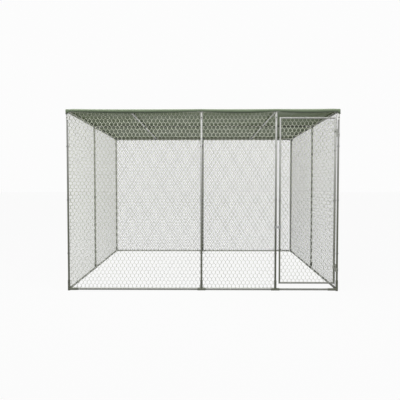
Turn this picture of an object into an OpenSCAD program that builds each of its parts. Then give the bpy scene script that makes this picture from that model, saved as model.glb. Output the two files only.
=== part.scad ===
// Walk-in poultry run: a tube frame joined by bolted sleeve connectors, wire netting
// on the inside of the frame, a netted door with a hasp, and a sheet cover on the roof.
// Millimetres. Origin on the ground at the middle of the run, front towards -Y, +Z up.

/* [Run] */
// Width over the corner posts
run_w = 3000; // [2400:10:4000]
// Depth over the corner posts
run_d = 3000; // [2400:10:4000]
// Height of the upper side of the front top rail
front_h = 2000; // [1700:10:2300]
// How much lower the back top rail lies than the front one
roof_fall = 66; // [0:1:150]

/* [Tubes] */
// Diameter of the posts and rails
tube_d = 22; // [19:0.5:28]
// Diameter of the roof purlins and of the beams between them
purlin_d = 19; // [16:0.5:20]
// Diameter of the door's tubes
door_tube_d = 19; // [16:0.5:24]
// Wall of every tube
tube_wall = 1.2; // [0.8:0.1:2]

/* [Places of posts and purlins] */
// Front and back middle posts, from the middle of the run
mid_post_x = -12; // [-300:1:200]
// Door post, from the middle of the run
door_post_x = 808; // [600:1:900]
// Side posts, behind the front posts
side_post_set = 1334; // [900:1:1800]
// Left purlin, from the middle of the run
left_purlin_x = -800; // [-1000:1:-500]

/* [Connectors] */
// Wall of a sleeve that slides on a rail
sleeve_wall = 2.8; // [2:0.1:4]
// Wall of a socket that takes a tube's end
socket_wall = 2.4; // [1.6:0.1:3]
// Reach of a socket from the middle of its connector
socket_reach = 100; // [85:1:140]
// Web between a rail's bore and the bottom of a socket
socket_web = 3.8; // [2:0.1:8]
// Length of a sleeve on its rail
sleeve_len = 90; // [60:1:140]
// Height of the feet below the lowest sleeves
foot_h = 2; // [1:0.5:10]

/* [Set bolts] */
// Thread diameter
bolt_d = 6; // [4:0.5:8]
// Head width across flats
bolt_head_w = 10; // [7:0.5:13]
// Head height
bolt_head_h = 4; // [2.5:0.5:6]
// Distance of a socket's bolt from the middle of its connector
bolt_reach = 75; // [50:1:80]

/* [Netting] */
// Width of one gap of the net, side to side
net_pitch = 330; // [250:5:500]
// Width of a strand
net_wire = 3; // [2:0.1:6]
// Thickness of a strand
net_t = 2; // [1:0.1:4]
// Length of a net clip along its tube
clip_len = 12; // [6:1:30]
// Wall of a net clip
clip_wall = 2.6; // [1.5:0.1:2.6]
// Width of a clip's mouth
clip_mouth = 12; // [6:0.5:16]

/* [Roof cover] */
// Thickness of the sheet
cover_t = 1.5; // [0.8:0.1:3]
// Depth of the front hem below the rail's axis where a post holds it up
hem_tie = 10; // [4:1:20]
// How much further the front hem sags between two posts
hem_sag = 18; // [0:1:30]
// Depth of the side hems below the rail's axis
side_hem = 10; // [4:1:20]
// Depth of the back hem below the rail's axis
back_hem = 20; // [4:1:30]
// How much further the front hem hangs at a corner; the other hems come down to the same depth there
corner_drop = 28; // [20:1:40]
// Width of the hanging flap at a corner
corner_flap = 55; // [20:1:150]

/* [Door] */
// Gap between the corner post and the door
hinge_gap = 14.5; // [13:0.5:20]
// Gap between the door post and the door
latch_gap = 24.5; // [15:0.5:40]
// Gap between the bottom rail and the door
sill_gap = 52.5; // [30:0.5:100]
// Gap between the top rail and the door
head_gap = 60.5; // [30:0.5:120]

/* [Hinges] */
// Height of the parting line of the upper hinge below the door's top tube
hinge_drop = 165; // [100:1:400]
// Height of a hinge clamp
hinge_h = 38; // [20:1:60]
// Wall of every clamp
clamp_wall = 2.8; // [2:0.1:2.8]
// Diameter of a hinge pin
hinge_pin_d = 8; // [5:0.5:9]
// Diameter of the boss round a hinge pin
hinge_boss_d = 14; // [12:0.5:15]
// Set of the hinge pins in front of the posts
hinge_set = 8; // [6:0.5:14]
// Thickness of the web from a clamp to its boss
hinge_web = 10; // [8:0.5:12]

/* [Hasp] */
// Height of the hasp above the ground
hasp_h = 709; // [400:1:1400]
// Height of the hasp's plate
hasp_w = 24; // [18:1:40]
// Thickness of the hasp's plate
hasp_t = 3; // [2:0.5:4]
// Diameter of the hasp's pin
hasp_pin_d = 5; // [3:0.5:6]
// Diameter of the hasp's knuckle
hasp_knuckle_d = 10; // [9:0.5:14]
// Height of a lug that carries the hasp's pin
hasp_lug_h = 8; // [4:0.5:15]
// Thickness of the staple that passes through the hasp
staple_t = 4; // [3:0.5:6]
// Height of the staple
staple_w = 14; // [10:1:16]
// Reach of the staple's eye in front of the door post's axis
staple_reach = 24; // [23:0.5:30]
// Diameter of the staple's eye
staple_eye_d = 7; // [5:0.5:9]

/* [Hidden] */
$fn = 64;
// Clearance round a tube in a sleeve, socket, clamp or clip
fit_gap = 0.2;
// Clearance between seated pieces
seat_gap = 0.3;
// Clearance round a turning pin
pin_gap = 0.06;
// Clearance round a bolt and at its tip
bolt_gap = 0.1;
// Clearance between the cover and the frame, above and beside it
cover_gap = 0.7;
skirt_gap = 2;
// Clearance round the staple in the hasp's slot
slot_gap = 1;
// Overrun of every cut
overrun = 1;

// Heights of the net clips on a post or stile, as shares of the height between connectors
clip_shares = [0.2, 0.5, 0.8];
// Place of the bolt on a sleeve, as a share of half its length
sleeve_bolt_share = 0.6;
// Points of the hem along one bay
hem_steps = 12;

frame_paint = [0.74, 0.76, 0.78];
clamp_paint = [0.42, 0.43, 0.44];
bolt_paint = [0.30, 0.30, 0.31];
net_paint = [0.66, 0.68, 0.67];
cover_paint = [0.42, 0.49, 0.37];

// Frame lines: axes of the posts and rails
tube_r = tube_d / 2;
axis_x = run_w / 2 - tube_r;
axis_y = run_d / 2 - tube_r;
sleeve_r = tube_r + fit_gap + sleeve_wall;
base_z = sleeve_r + foot_h;
front_z = front_h - tube_r;
roof_tilt = atan(roof_fall / (2 * axis_y));
roof_len = 2 * axis_y / cos(roof_tilt);
side_post_y = side_post_set - axis_y;
socket_root = tube_r + fit_gap + socket_web;
tube_inset = socket_root + seat_gap;
function socket_r(d) = d / 2 + fit_gap + socket_wall;
function rail_z(y) = front_z - roof_fall * (y + axis_y) / (2 * axis_y);

// Net lines: distance of a net's outer face from the axes of its tubes
net_set = sleeve_r + seat_gap;
net_inner = net_set + net_t;

// Door lines: axes of the stiles and of the door's rails
door_r = door_tube_d / 2;
latch_x = door_post_x + tube_r + latch_gap + door_r;
hinge_x = axis_x - tube_r - hinge_gap - door_r;
door_bottom_z = base_z + tube_r + sill_gap + door_r;
door_top_z = front_z - tube_r - head_gap - door_r;
door_net_set = door_r + fit_gap + clamp_wall + seat_gap;
pin_x = axis_x - tube_r - hinge_gap / 2;
pin_y = -axis_y - hinge_set;
hinge_heights = [door_bottom_z + hinge_drop, door_top_z - hinge_drop];

// Hasp lines: its pin stands in front of the latch stile
hasp_pin_set = door_r + fit_gap + clamp_wall + seat_gap + hasp_knuckle_d / 2;
hasp_pin_y = -axis_y - hasp_pin_set;
hasp_back = -axis_y - sleeve_r - slot_gap;
hasp_reach = latch_x - door_post_x;
staple_tip = staple_reach + staple_w / 2;
staple_fore = staple_tip - hasp_pin_set;
slot_near = hasp_reach - staple_t / 2 - slot_gap;
slot_far = norm([hasp_reach + staple_t / 2, staple_fore]) + slot_gap;

// An arm of a connector is [turn from +Z, spin of its bolt, tube diameter]
function x_arm(way, side) = [[0, 90 * way, 0], -90 * side, tube_d];
function y_arm(way, side, tilt) = [[-90 * way - tilt, 0, 0], 90 + 90 * side, tube_d];
function z_arm(way, spin) = [[90 - 90 * way, 0, 0], spin, tube_d];
function purlin_arm(way) = [[-90 * way - roof_tilt, 0, 0], 90 * way, purlin_d];
function beam_arm(way) = [[0, 90 * way, 0], 90 - 90 * way, purlin_d];

// A connector is [place, sleeves on rails, sockets]; way is 1 at the ground and -1 at the roof
function level(y, way) = way > 0 ? base_z : rail_z(y);
function tilt_at(way) = way > 0 ? 0 : roof_tilt;
function corner(sx, sy, way) = [
    [sx * axis_x, sy * axis_y, level(sy * axis_y, way)],
    [],
    [x_arm(-sx, sy), y_arm(-sy, sx, tilt_at(way)), z_arm(way, 90 * sy * way)]
];
function end_tee(x, sy, way) = [
    [x, sy * axis_y, level(sy * axis_y, way)],
    [x_arm(1, sy)],
    [z_arm(way, 90 * sy * way)]
];
function side_tee(sx, way) = [
    [sx * axis_x, side_post_y, level(side_post_y, way)],
    [y_arm(1, sx, tilt_at(way))],
    concat([z_arm(way, 90 - 90 * sx)], way > 0 ? [] : [beam_arm(-sx)])
];
function purlin_tee(x, sy) = [
    [x, sy * axis_y, rail_z(sy * axis_y)],
    [x_arm(1, sy)],
    [purlin_arm(-sy)]
];
function beam_cross(x) = [
    [x, side_post_y, rail_z(side_post_y)],
    [purlin_arm(1)],
    [beam_arm(-1), beam_arm(1)]
];

sides = [-1, 1];
corners = [for (way = sides, sx = sides, sy = sides) corner(sx, sy, way)];
foot_tees = concat(
    [end_tee(mid_post_x, -1, 1), end_tee(door_post_x, -1, 1), end_tee(mid_post_x, 1, 1)],
    [for (sx = sides) side_tee(sx, 1)]
);
head_tees = concat(
    [end_tee(mid_post_x, -1, -1), end_tee(mid_post_x, 1, -1)],
    [for (sx = sides) side_tee(sx, -1)]
);
door_cross = [
    [door_post_x, -axis_y, front_z],
    [x_arm(1, -1)],
    [z_arm(-1, 90), purlin_arm(1)]
];
roof_tees = [purlin_tee(left_purlin_x, -1), purlin_tee(left_purlin_x, 1), purlin_tee(door_post_x, 1)];
beam_joints = [beam_cross(left_purlin_x), beam_cross(door_post_x)];
connectors = concat(corners, foot_tees, head_tees, [door_cross], roof_tees, beam_joints);

// A tube along +Z
module tube(d, len) difference() {
    cylinder(d = d, h = len);
    translate([0, 0, -overrun]) cylinder(d = d - 2 * tube_wall, h = len + 2 * overrun);
}

// A post between its lower and upper connector
module post(x, y, upper_z) color(frame_paint)
    translate([x, y, base_z + tube_inset]) tube(tube_d, upper_z - base_z - 2 * tube_inset);

// A rail across the run, between two corner connectors
module cross_rail(y, z) color(frame_paint)
    translate([-axis_x + tube_inset, y, z]) rotate([0, 90, 0]) tube(tube_d, 2 * axis_x - 2 * tube_inset);

// Children stand at the front top rail, with +Y running down the roof
module on_roof() translate([0, -axis_y, front_z]) rotate([-roof_tilt, 0, 0]) children();

// Sleeves and sockets of a connector as solid bars, then as cuts
module arm_bars(c) {
    for (s = c[1]) rotate(s[0]) cylinder(r = sleeve_r, h = sleeve_len, center = true);
    for (s = c[2]) rotate(s[0]) cylinder(r = socket_r(s[2]), h = socket_reach);
}

module bolt_hole(spin, along) translate([0, 0, along]) rotate([0, 0, spin]) rotate([0, 90, 0])
    cylinder(d = bolt_d + 2 * bolt_gap, h = sleeve_r + overrun);

module arm_cuts(c) {
    for (s = c[1]) rotate(s[0]) {
        cylinder(d = s[2] + 2 * fit_gap, h = sleeve_len + 2 * overrun, center = true);
        bolt_hole(s[1], sleeve_bolt_share * sleeve_len / 2);
    }
    for (s = c[2]) rotate(s[0]) {
        translate([0, 0, socket_root])
            cylinder(d = s[2] + 2 * fit_gap, h = socket_reach - socket_root + overrun);
        bolt_hole(s[1], bolt_reach);
    }
}

module tee(c) color(frame_paint) translate(c[0]) difference() {
    arm_bars(c);
    arm_cuts(c);
}

// A corner connector has a hub, which reaches the ground as a flat foot under the lower ones
module corner_connector(sx, sy, way) {
    c = corner(sx, sy, way);
    hub_under = way > 0 ? base_z : sleeve_r;
    color(frame_paint) translate(c[0]) difference() {
        union() {
            translate([0, 0, -hub_under]) cylinder(r = sleeve_r, h = hub_under + sleeve_r);
            arm_bars(c);
        }
        arm_cuts(c);
    }
}

// A hexagon-head set bolt along +X, from the tube's surface out through a wall of radius wall_r
module set_bolt(d, wall_r) rotate([0, 90, 0]) {
    translate([0, 0, d / 2 + bolt_gap]) cylinder(d = bolt_d, h = wall_r - d / 2 + bolt_head_h / 2);
    translate([0, 0, wall_r + bolt_gap])
        cylinder(d = bolt_head_w / cos(30), h = bolt_head_h, $fn = 6);
}

// A clamp ring along +Z with a boss beside it at reach, in the direction of turn
module clamp_body(d, h, reach, turn, boss_d, web) linear_extrude(h) {
    circle(r = d / 2 + fit_gap + clamp_wall);
    rotate(turn) {
        translate([0, -web / 2]) square([reach, web]);
        translate([reach, 0]) circle(d = boss_d);
    }
}

module pin_bore(d, h) translate([0, 0, -overrun]) cylinder(d = d, h = h + 2 * overrun);
module clamp_bore(d, h) pin_bore(d + 2 * fit_gap, h);

module clamp_bolt_hole(spin, along, wall_r) translate([0, 0, along]) rotate([0, 0, spin])
    rotate([0, 90, 0]) cylinder(d = bolt_d + 2 * bolt_gap, h = wall_r + overrun);

// A snap clip round a tube, with its mouth turned away from the net
module net_clip(d, mouth_turn) difference() {
    cylinder(d = d + 2 * (fit_gap + clip_wall), h = clip_len);
    clamp_bore(d, clip_len);
    rotate([0, 0, mouth_turn]) translate([0, -clip_mouth / 2, -overrun])
        cube([d, clip_mouth, clip_len + 2 * overrun]);
}

// A net of six-sided gaps in the XY plane, from the origin to w, with its top from h0 to h1
module wire_net(w, h0, h1) {
    cols = max(1, round(w / net_pitch));
    rows = max(1, round(h0 / (net_pitch * sin(60))));
    step_x = w / cols;
    step_y = h0 / rows;
    gap_x = (step_x - net_wire) / 2;
    gap_y = step_y * 2 / 3 - net_wire / sqrt(3);
    linear_extrude(net_t) difference() {
        polygon([[0, 0], [w, 0], [w, h1], [0, h0]]);
        intersection() {
            polygon([
                [net_wire, net_wire], [w - net_wire, net_wire],
                [w - net_wire, h1 - net_wire], [net_wire, h0 - net_wire]
            ]);
            for (row = [0 : rows], col = [0 : cols - (row + 1) % 2])
                translate([(col + (row + 1) % 2 / 2) * step_x, row * step_y])
                    polygon([
                        [0, gap_y], [gap_x, gap_y / 2], [gap_x, -gap_y / 2],
                        [0, -gap_y], [-gap_x, -gap_y / 2], [-gap_x, gap_y / 2]
                    ]);
        }
    }
}

// Depth of the cover's hem below the rail's axis, at s along an edge whose posts are at ties.
// hang is the depth at the posts and the sag between them
function hem_in_bay(s, a, b, hang) = hang[0] + hang[1] * sin(180 * (s - a) / (b - a));
function flap(s, ties, hang) = (hem_tie + corner_drop - hang[0])
    * max(0, 1 - min(s - ties[0], ties[len(ties) - 1] - s) / corner_flap);
function hem_line(ties, hang) = [
    for (i = [0 : len(ties) - 2], k = [0 : hem_steps])
        let (s = ties[i] + (ties[i + 1] - ties[i]) * k / hem_steps)
        if (k > 0 || i == 0) [s, -hem_in_bay(s, ties[i], ties[i + 1], hang) - flap(s, ties, hang)]
];
// The same line with a point where each corner flap ends
function flap_line(ties, hang) = let (
    first = ties[0] + corner_flap,
    last = ties[len(ties) - 1] - corner_flap,
    line = hem_line(ties, hang),
    n = len(ties)
) concat(
    [line[0], [first, -hem_in_bay(first, ties[0], ties[1], hang)]],
    [for (p = line) if (p[0] > first && p[0] < last) p],
    [[last, -hem_in_bay(last, ties[n - 2], ties[n - 1], hang)], line[len(line) - 1]]
);

cover_under = sleeve_r + cover_gap;
cover_top = cover_under + cover_t;
skirt_in = sleeve_r + skirt_gap;
skirt_out = skirt_in + cover_t;
end_ties = [-axis_x - skirt_out, mid_post_x, door_post_x, axis_x + skirt_out];
back_ties = [-axis_x - skirt_out, mid_post_x, axis_x + skirt_out];
side_ties = [-skirt_out, side_post_set / cos(roof_tilt), roof_len + skirt_out];

// One hanging edge of the cover, upright in the XZ plane
module skirt(ties, hang) rotate([90, 0, 0]) linear_extrude(cover_t) polygon(concat(
    [[ties[len(ties) - 1], cover_top], [ties[0], cover_top]], flap_line(ties, hang)
));

// Posts
module front_left_post() post(-axis_x, -axis_y, front_z);
module front_right_post() post(axis_x, -axis_y, front_z);
module back_left_post() post(-axis_x, axis_y, rail_z(axis_y));
module back_right_post() post(axis_x, axis_y, rail_z(axis_y));
module front_mid_post() post(mid_post_x, -axis_y, front_z);
module door_post() post(door_post_x, -axis_y, front_z);
module back_mid_post() post(mid_post_x, axis_y, rail_z(axis_y));
module left_mid_post() post(-axis_x, side_post_y, rail_z(side_post_y));
module right_mid_post() post(axis_x, side_post_y, rail_z(side_post_y));

// Rails, purlins and beams
module side_bottom_rail(x) color(frame_paint)
    translate([x, -axis_y + tube_inset, base_z]) rotate([-90, 0, 0])
        tube(tube_d, 2 * axis_y - 2 * tube_inset);
module roof_tube(x, d) color(frame_paint)
    on_roof() translate([x, tube_inset, 0]) rotate([-90, 0, 0]) tube(d, roof_len - 2 * tube_inset);

module front_bottom_rail() cross_rail(-axis_y, base_z);
module back_bottom_rail() cross_rail(axis_y, base_z);
module left_bottom_rail() side_bottom_rail(-axis_x);
module right_bottom_rail() side_bottom_rail(axis_x);
module front_top_rail() cross_rail(-axis_y, front_z);
module back_top_rail() cross_rail(axis_y, rail_z(axis_y));
module left_top_rail() roof_tube(-axis_x, tube_d);
module right_top_rail() roof_tube(axis_x, tube_d);
module left_purlin() roof_tube(left_purlin_x, purlin_d);
module right_purlin() roof_tube(door_post_x, purlin_d);

// A beam across the run under the cover, between the side posts' connectors and the purlins' crosses
module beam(from_x, to_x) color(frame_paint)
    translate([from_x + tube_inset, side_post_y, rail_z(side_post_y)]) rotate([0, 90, 0])
        tube(purlin_d, to_x - from_x - 2 * tube_inset);
module left_beam() beam(-axis_x, left_purlin_x);
module mid_beam() beam(left_purlin_x, door_post_x);
module right_beam() beam(door_post_x, axis_x);

// Connectors
module front_left_foot_corner() corner_connector(-1, -1, 1);
module front_right_foot_corner() corner_connector(1, -1, 1);
module back_left_foot_corner() corner_connector(-1, 1, 1);
module back_right_foot_corner() corner_connector(1, 1, 1);
module front_left_roof_corner() corner_connector(-1, -1, -1);
module front_right_roof_corner() corner_connector(1, -1, -1);
module back_left_roof_corner() corner_connector(-1, 1, -1);
module back_right_roof_corner() corner_connector(1, 1, -1);
module post_foot_tees() for (c = foot_tees) tee(c);
module post_head_tees() for (c = head_tees) tee(c);
module door_head_cross() tee(door_cross);
module purlin_tees() for (c = roof_tees) tee(c);
module beam_crosses() for (c = beam_joints) tee(c);

// Set bolts of the connectors, of the hinge pintles and of the staple
module set_bolts() color(bolt_paint) {
    for (c = connectors) translate(c[0]) {
        for (s = c[1]) rotate(s[0]) translate([0, 0, sleeve_bolt_share * sleeve_len / 2])
            rotate([0, 0, s[1]]) set_bolt(s[2], sleeve_r);
        for (s = c[2]) rotate(s[0]) translate([0, 0, bolt_reach])
            rotate([0, 0, s[1]]) set_bolt(s[2], socket_r(s[2]));
    }
    for (z = hinge_heights) translate([axis_x, -axis_y, z - hinge_h / 2])
        rotate([0, 0, -90]) set_bolt(tube_d, post_clamp_r);
    translate([door_post_x, -axis_y, hasp_h]) rotate([0, 0, 180]) set_bolt(tube_d, post_clamp_r);
}

// Nets, each on the inner side of its tubes
net_bottom = base_z + net_set;
function net_height(y) = rail_z(y) - net_set - net_bottom;
module cross_net(y, face_y, w) color(net_paint)
    translate([-axis_x, face_y, net_bottom]) rotate([90, 0, 0]) wire_net(w, net_height(y), net_height(y));
module front_net() cross_net(-axis_y, -axis_y + net_inner, door_post_x + axis_x);
module back_net() cross_net(axis_y, axis_y - net_set, 2 * axis_x);
module side_net(x) color(net_paint) {
    end = axis_y - net_inner - seat_gap;
    translate([x, -end, net_bottom]) rotate([90, 0, 90])
        wire_net(2 * end, net_height(-end), net_height(end));
}
module left_net() side_net(-axis_x + net_set);
module right_net() side_net(axis_x - net_inner);

// Places of the posts that carry net clips, with the turn of a clip's mouth
clip_posts = concat(
    [for (x = [-axis_x, mid_post_x, door_post_x, axis_x]) [x, -axis_y, -90]],
    [for (x = [-axis_x, mid_post_x, axis_x]) [x, axis_y, 90]],
    [for (sx = sides) [sx * axis_x, side_post_y, 90 - 90 * sx]]
);
module net_clips() color(clamp_paint)
    for (p = clip_posts, share = clip_shares)
        translate([p[0], p[1], base_z + (rail_z(p[1]) - base_z) * share]) net_clip(tube_d, p[2]);

// Sheet cover: a flat top with a hanging edge on each side
module roof_cover() color(cover_paint) on_roof() union() {
    translate([-axis_x - skirt_out, -skirt_out, cover_under])
        cube([2 * (axis_x + skirt_out), roof_len + 2 * skirt_out, cover_t]);
    translate([0, -skirt_in, 0]) skirt(end_ties, [hem_tie, hem_sag]);
    translate([0, roof_len + skirt_out, 0]) skirt(back_ties, [back_hem, 0]);
    for (x = [-axis_x - skirt_in, axis_x + skirt_out])
        translate([x, 0, 0]) rotate([0, 0, 90]) skirt(side_ties, [side_hem, 0]);
}

// Hinges: a clamp with an upright pin on the post, and a clamp with an eye on the door
post_clamp_r = tube_r + fit_gap + clamp_wall;
stile_clamp_r = door_r + fit_gap + clamp_wall;
post_to_pin = [pin_x - axis_x, -hinge_set];
stile_to_pin = [pin_x - hinge_x, -hinge_set];
function bearing(v) = atan2(v[1], v[0]);

module hinge_pintles() color(clamp_paint)
    for (z = hinge_heights) translate([axis_x, -axis_y, z - hinge_h]) {
        difference() {
            clamp_body(tube_d, hinge_h, norm(post_to_pin), bearing(post_to_pin), hinge_boss_d, hinge_web);
            clamp_bore(tube_d, hinge_h);
            clamp_bolt_hole(-90, hinge_h / 2, post_clamp_r);
        }
        translate([post_to_pin[0], post_to_pin[1], hinge_h / 2])
            cylinder(d = hinge_pin_d, h = hinge_h * 3 / 2 + hinge_pin_d);
    }

module hinge_eyes() color(clamp_paint)
    for (z = hinge_heights) translate([hinge_x, -axis_y, z + seat_gap]) difference() {
        clamp_body(door_tube_d, hinge_h, norm(stile_to_pin), bearing(stile_to_pin), hinge_boss_d, hinge_web);
        clamp_bore(door_tube_d, hinge_h);
        translate([stile_to_pin[0], stile_to_pin[1], 0]) pin_bore(hinge_pin_d + 2 * pin_gap, hinge_h);
        clamp_bolt_hole(-90, hinge_h / 2, stile_clamp_r);
    }

// Door frame: four tubes that meet at mitred corners
// A tube along +Z from the origin, mitred at both ends, with its shorter side towards +X
module mitred_tube(len) difference() {
    translate([0, 0, -door_tube_d]) tube(door_tube_d, len + 2 * door_tube_d);
    for (end = [[0, 135], [len, 45]])
        translate([0, 0, end[0]]) rotate([0, end[1], 0]) translate([-door_tube_d * 2, -door_tube_d * 2, 0])
            cube(door_tube_d * 4);
}
stile_len = door_top_z - door_bottom_z;
door_rail_len = hinge_x - latch_x;

module latch_stile() color(frame_paint)
    translate([latch_x, -axis_y, door_bottom_z]) mitred_tube(stile_len);
module hinge_stile() color(frame_paint)
    translate([hinge_x, -axis_y, door_bottom_z]) rotate([0, 0, 180]) mitred_tube(stile_len);
module door_top_tube() color(frame_paint)
    translate([latch_x, -axis_y, door_top_z]) rotate([0, 90, 0]) mitred_tube(door_rail_len);
module door_bottom_tube() color(frame_paint)
    translate([hinge_x, -axis_y, door_bottom_z]) rotate([0, -90, 0]) mitred_tube(door_rail_len);

module door_net() color(net_paint)
    translate([latch_x, -axis_y + door_net_set + net_t, door_bottom_z]) rotate([90, 0, 0])
        wire_net(door_rail_len, stile_len, stile_len);

module door_net_clips() color(clamp_paint)
    for (x = [latch_x, hinge_x], share = clip_shares)
        translate([x, -axis_y, door_bottom_z + stile_len * share]) net_clip(door_tube_d, -90);

module door_bolts() color(bolt_paint) {
    for (z = hinge_heights) translate([hinge_x, -axis_y, z + seat_gap + hinge_h / 2])
        rotate([0, 0, -90]) set_bolt(door_tube_d, stile_clamp_r);
    translate([latch_x, -axis_y, hasp_h]) set_bolt(door_tube_d, stile_clamp_r);
}

// Hasp: a slotted plate on a pin in front of the latch stile, and its staple on the door post
bracket_h = hasp_w + 2 * (seat_gap + hasp_lug_h);

module hasp_bracket() color(clamp_paint)
    translate([latch_x, -axis_y, hasp_h - bracket_h / 2]) difference() {
        union() {
            cylinder(r = stile_clamp_r, h = bracket_h);
            for (z = [0, bracket_h - hasp_lug_h]) translate([0, 0, z])
                clamp_body(door_tube_d, hasp_lug_h, hasp_pin_set, -90, hasp_knuckle_d, hasp_knuckle_d);
        }
        clamp_bore(door_tube_d, bracket_h);
        translate([0, -hasp_pin_set, 0]) pin_bore(hasp_pin_d + 2 * bolt_gap, bracket_h);
        clamp_bolt_hole(0, bracket_h / 2, stile_clamp_r);
    }

module hasp_pin() color(bolt_paint) translate([latch_x, hasp_pin_y, hasp_h]) {
    cylinder(d = hasp_pin_d, h = bracket_h + 2 * hasp_pin_d, center = true);
    translate([0, 0, bracket_h / 2 + bolt_gap]) cylinder(d = hasp_knuckle_d, h = hasp_t);
}

module hasp() color(clamp_paint) translate([latch_x, hasp_pin_y, hasp_h]) difference() {
    union() {
        cylinder(d = hasp_knuckle_d, h = hasp_w, center = true);
        translate([-hasp_reach, hasp_back - hasp_t - hasp_pin_y, -hasp_w / 2])
            cube([hasp_reach, hasp_t, hasp_w]);
        translate([-hasp_reach, hasp_back - hasp_pin_y, 0]) rotate([90, 0, 0])
            cylinder(d = hasp_w, h = hasp_t);
    }
    cylinder(d = hasp_pin_d + 2 * pin_gap, h = hasp_w + 2 * overrun, center = true);
    translate([-slot_far, hasp_back - hasp_t - hasp_pin_y - overrun, -staple_w / 2 - slot_gap])
        cube([slot_far - slot_near, hasp_t + 2 * overrun, staple_w + 2 * slot_gap]);
}

module hasp_staple() color(clamp_paint)
    translate([door_post_x, -axis_y, hasp_h]) difference() {
        union() {
            cylinder(r = post_clamp_r, h = hasp_w, center = true);
            translate([-staple_t / 2, -staple_reach, -staple_w / 2])
                cube([staple_t, staple_reach, staple_w]);
            translate([-staple_t / 2, -staple_reach, 0]) rotate([0, 90, 0])
                cylinder(d = staple_w, h = staple_t);
        }
        cylinder(d = tube_d + 2 * fit_gap, h = hasp_w + 2 * overrun, center = true);
        translate([-staple_t / 2 - overrun, -staple_reach, 0]) rotate([0, 90, 0])
            cylinder(d = staple_eye_d, h = staple_t + 2 * overrun);
        clamp_bolt_hole(180, 0, post_clamp_r);
    }

front_left_post();
front_right_post();
back_left_post();
back_right_post();
front_mid_post();
door_post();
back_mid_post();
left_mid_post();
right_mid_post();
front_bottom_rail();
back_bottom_rail();
left_bottom_rail();
right_bottom_rail();
front_top_rail();
back_top_rail();
left_top_rail();
right_top_rail();
left_purlin();
right_purlin();
left_beam();
mid_beam();
right_beam();
front_left_foot_corner();
front_right_foot_corner();
back_left_foot_corner();
back_right_foot_corner();
front_left_roof_corner();
front_right_roof_corner();
back_left_roof_corner();
back_right_roof_corner();
post_foot_tees();
post_head_tees();
door_head_cross();
purlin_tees();
beam_crosses();
set_bolts();
front_net();
back_net();
left_net();
right_net();
net_clips();
roof_cover();
hinge_pintles();
hasp_staple();
latch_stile();
hinge_stile();
door_top_tube();
door_bottom_tube();
door_net();
door_net_clips();
hinge_eyes();
hasp_bracket();
hasp_pin();
door_bolts();
hasp();
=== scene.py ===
import math

import bpy
import numpy as np
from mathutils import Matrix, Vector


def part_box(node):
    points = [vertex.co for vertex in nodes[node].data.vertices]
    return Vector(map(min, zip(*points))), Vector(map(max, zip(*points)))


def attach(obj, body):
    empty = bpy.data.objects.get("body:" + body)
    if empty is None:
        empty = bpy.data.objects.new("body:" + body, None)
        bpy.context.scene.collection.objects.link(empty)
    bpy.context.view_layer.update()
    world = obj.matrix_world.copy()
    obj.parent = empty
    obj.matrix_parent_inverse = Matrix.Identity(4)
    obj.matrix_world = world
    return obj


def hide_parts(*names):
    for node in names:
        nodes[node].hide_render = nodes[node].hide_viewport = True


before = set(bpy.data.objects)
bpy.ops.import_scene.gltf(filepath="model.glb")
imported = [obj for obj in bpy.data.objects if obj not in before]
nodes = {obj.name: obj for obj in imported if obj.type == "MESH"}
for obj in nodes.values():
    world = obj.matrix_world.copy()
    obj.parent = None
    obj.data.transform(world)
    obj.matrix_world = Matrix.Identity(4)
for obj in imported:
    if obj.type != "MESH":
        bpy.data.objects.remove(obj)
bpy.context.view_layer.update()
scene = bpy.context.scene
scene.view_settings.view_transform = "Standard"
print("frame loaded:", len(nodes), "nodes")

# Camera at the photograph's place: metres and degrees
photoCamera = {
    "place": (0.028, -6.958, 1.239),
    "pitchDown": 2.41,
    "yawLeft": 0.59,
    "lens": 44.59,  # mm
    "sensor": 36.0,  # mm
}
lensData = bpy.data.cameras.new("photoCamera")
lensData.lens = photoCamera["lens"]
lensData.sensor_width = photoCamera["sensor"]
cameraObject = bpy.data.objects.new("photoCamera", lensData)
scene.collection.objects.link(cameraObject)
cameraObject.location = photoCamera["place"]
cameraObject.rotation_euler = (
    math.radians(90 - photoCamera["pitchDown"]), 0, math.radians(photoCamera["yawLeft"]),
)
scene.camera = cameraObject
print("camera placed")


# Node helpers: every group and material is written with these. An input is a socket to link or a plain value
def addNode(tree, kind, inputs=None, **settings):
    node = tree.nodes.new(kind)
    for key, value in settings.items():
        setattr(node, key, value)
    for key, value in (inputs or {}).items():
        if isinstance(value, bpy.types.NodeSocket):
            tree.links.new(value, node.inputs[key])
        else:
            node.inputs[key].default_value = value
    return node


# The result of one Math operation
def mathNode(tree, operation, first, second=0.0, third=0.0, clamp=False):
    values = {0: first, 1: second, 2: third}
    return addNode(tree, "ShaderNodeMath", values, operation=operation, use_clamp=clamp).outputs[0]


# A Mix node set to colours has its share, first and second colour in these sockets
def mixColour(tree, share, first, second, blend="MIX"):
    values = {0: share, 6: first, 7: second}
    return addNode(tree, "ShaderNodeMix", values, data_type="RGBA", blend_type=blend).outputs[2]


# A smooth step from one pair of values to another
def rangeNode(tree, value, source, target=(0.0, 1.0)):
    values = {
        "Value": value, "From Min": source[0], "From Max": source[1],
        "To Min": target[0], "To Max": target[1],
    }
    return addNode(tree, "ShaderNodeMapRange", values, interpolation_type="SMOOTHSTEP").outputs[0]


# Fractal noise between 0 and 1
def noiseNode(tree, place, scale, detail):
    return addNode(tree, "ShaderNodeTexNoise", {"Vector": place, "Scale": scale, "Detail": detail}).outputs[0]


# Places in metres, in the one frame that all pieces share at rest
def objectPlace(tree):
    return addNode(tree, "ShaderNodeTexCoord").outputs["Object"]


# Relief as a bend of the shader's normal, by the look's own strength and depth
def addBump(tree, shader, height, look):
    values = {"Height": height, "Strength": look["bump"], "Distance": look["reliefDepth"]}
    tree.links.new(addNode(tree, "ShaderNodeBump", values).outputs[0], shader.inputs["Normal"])


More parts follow.
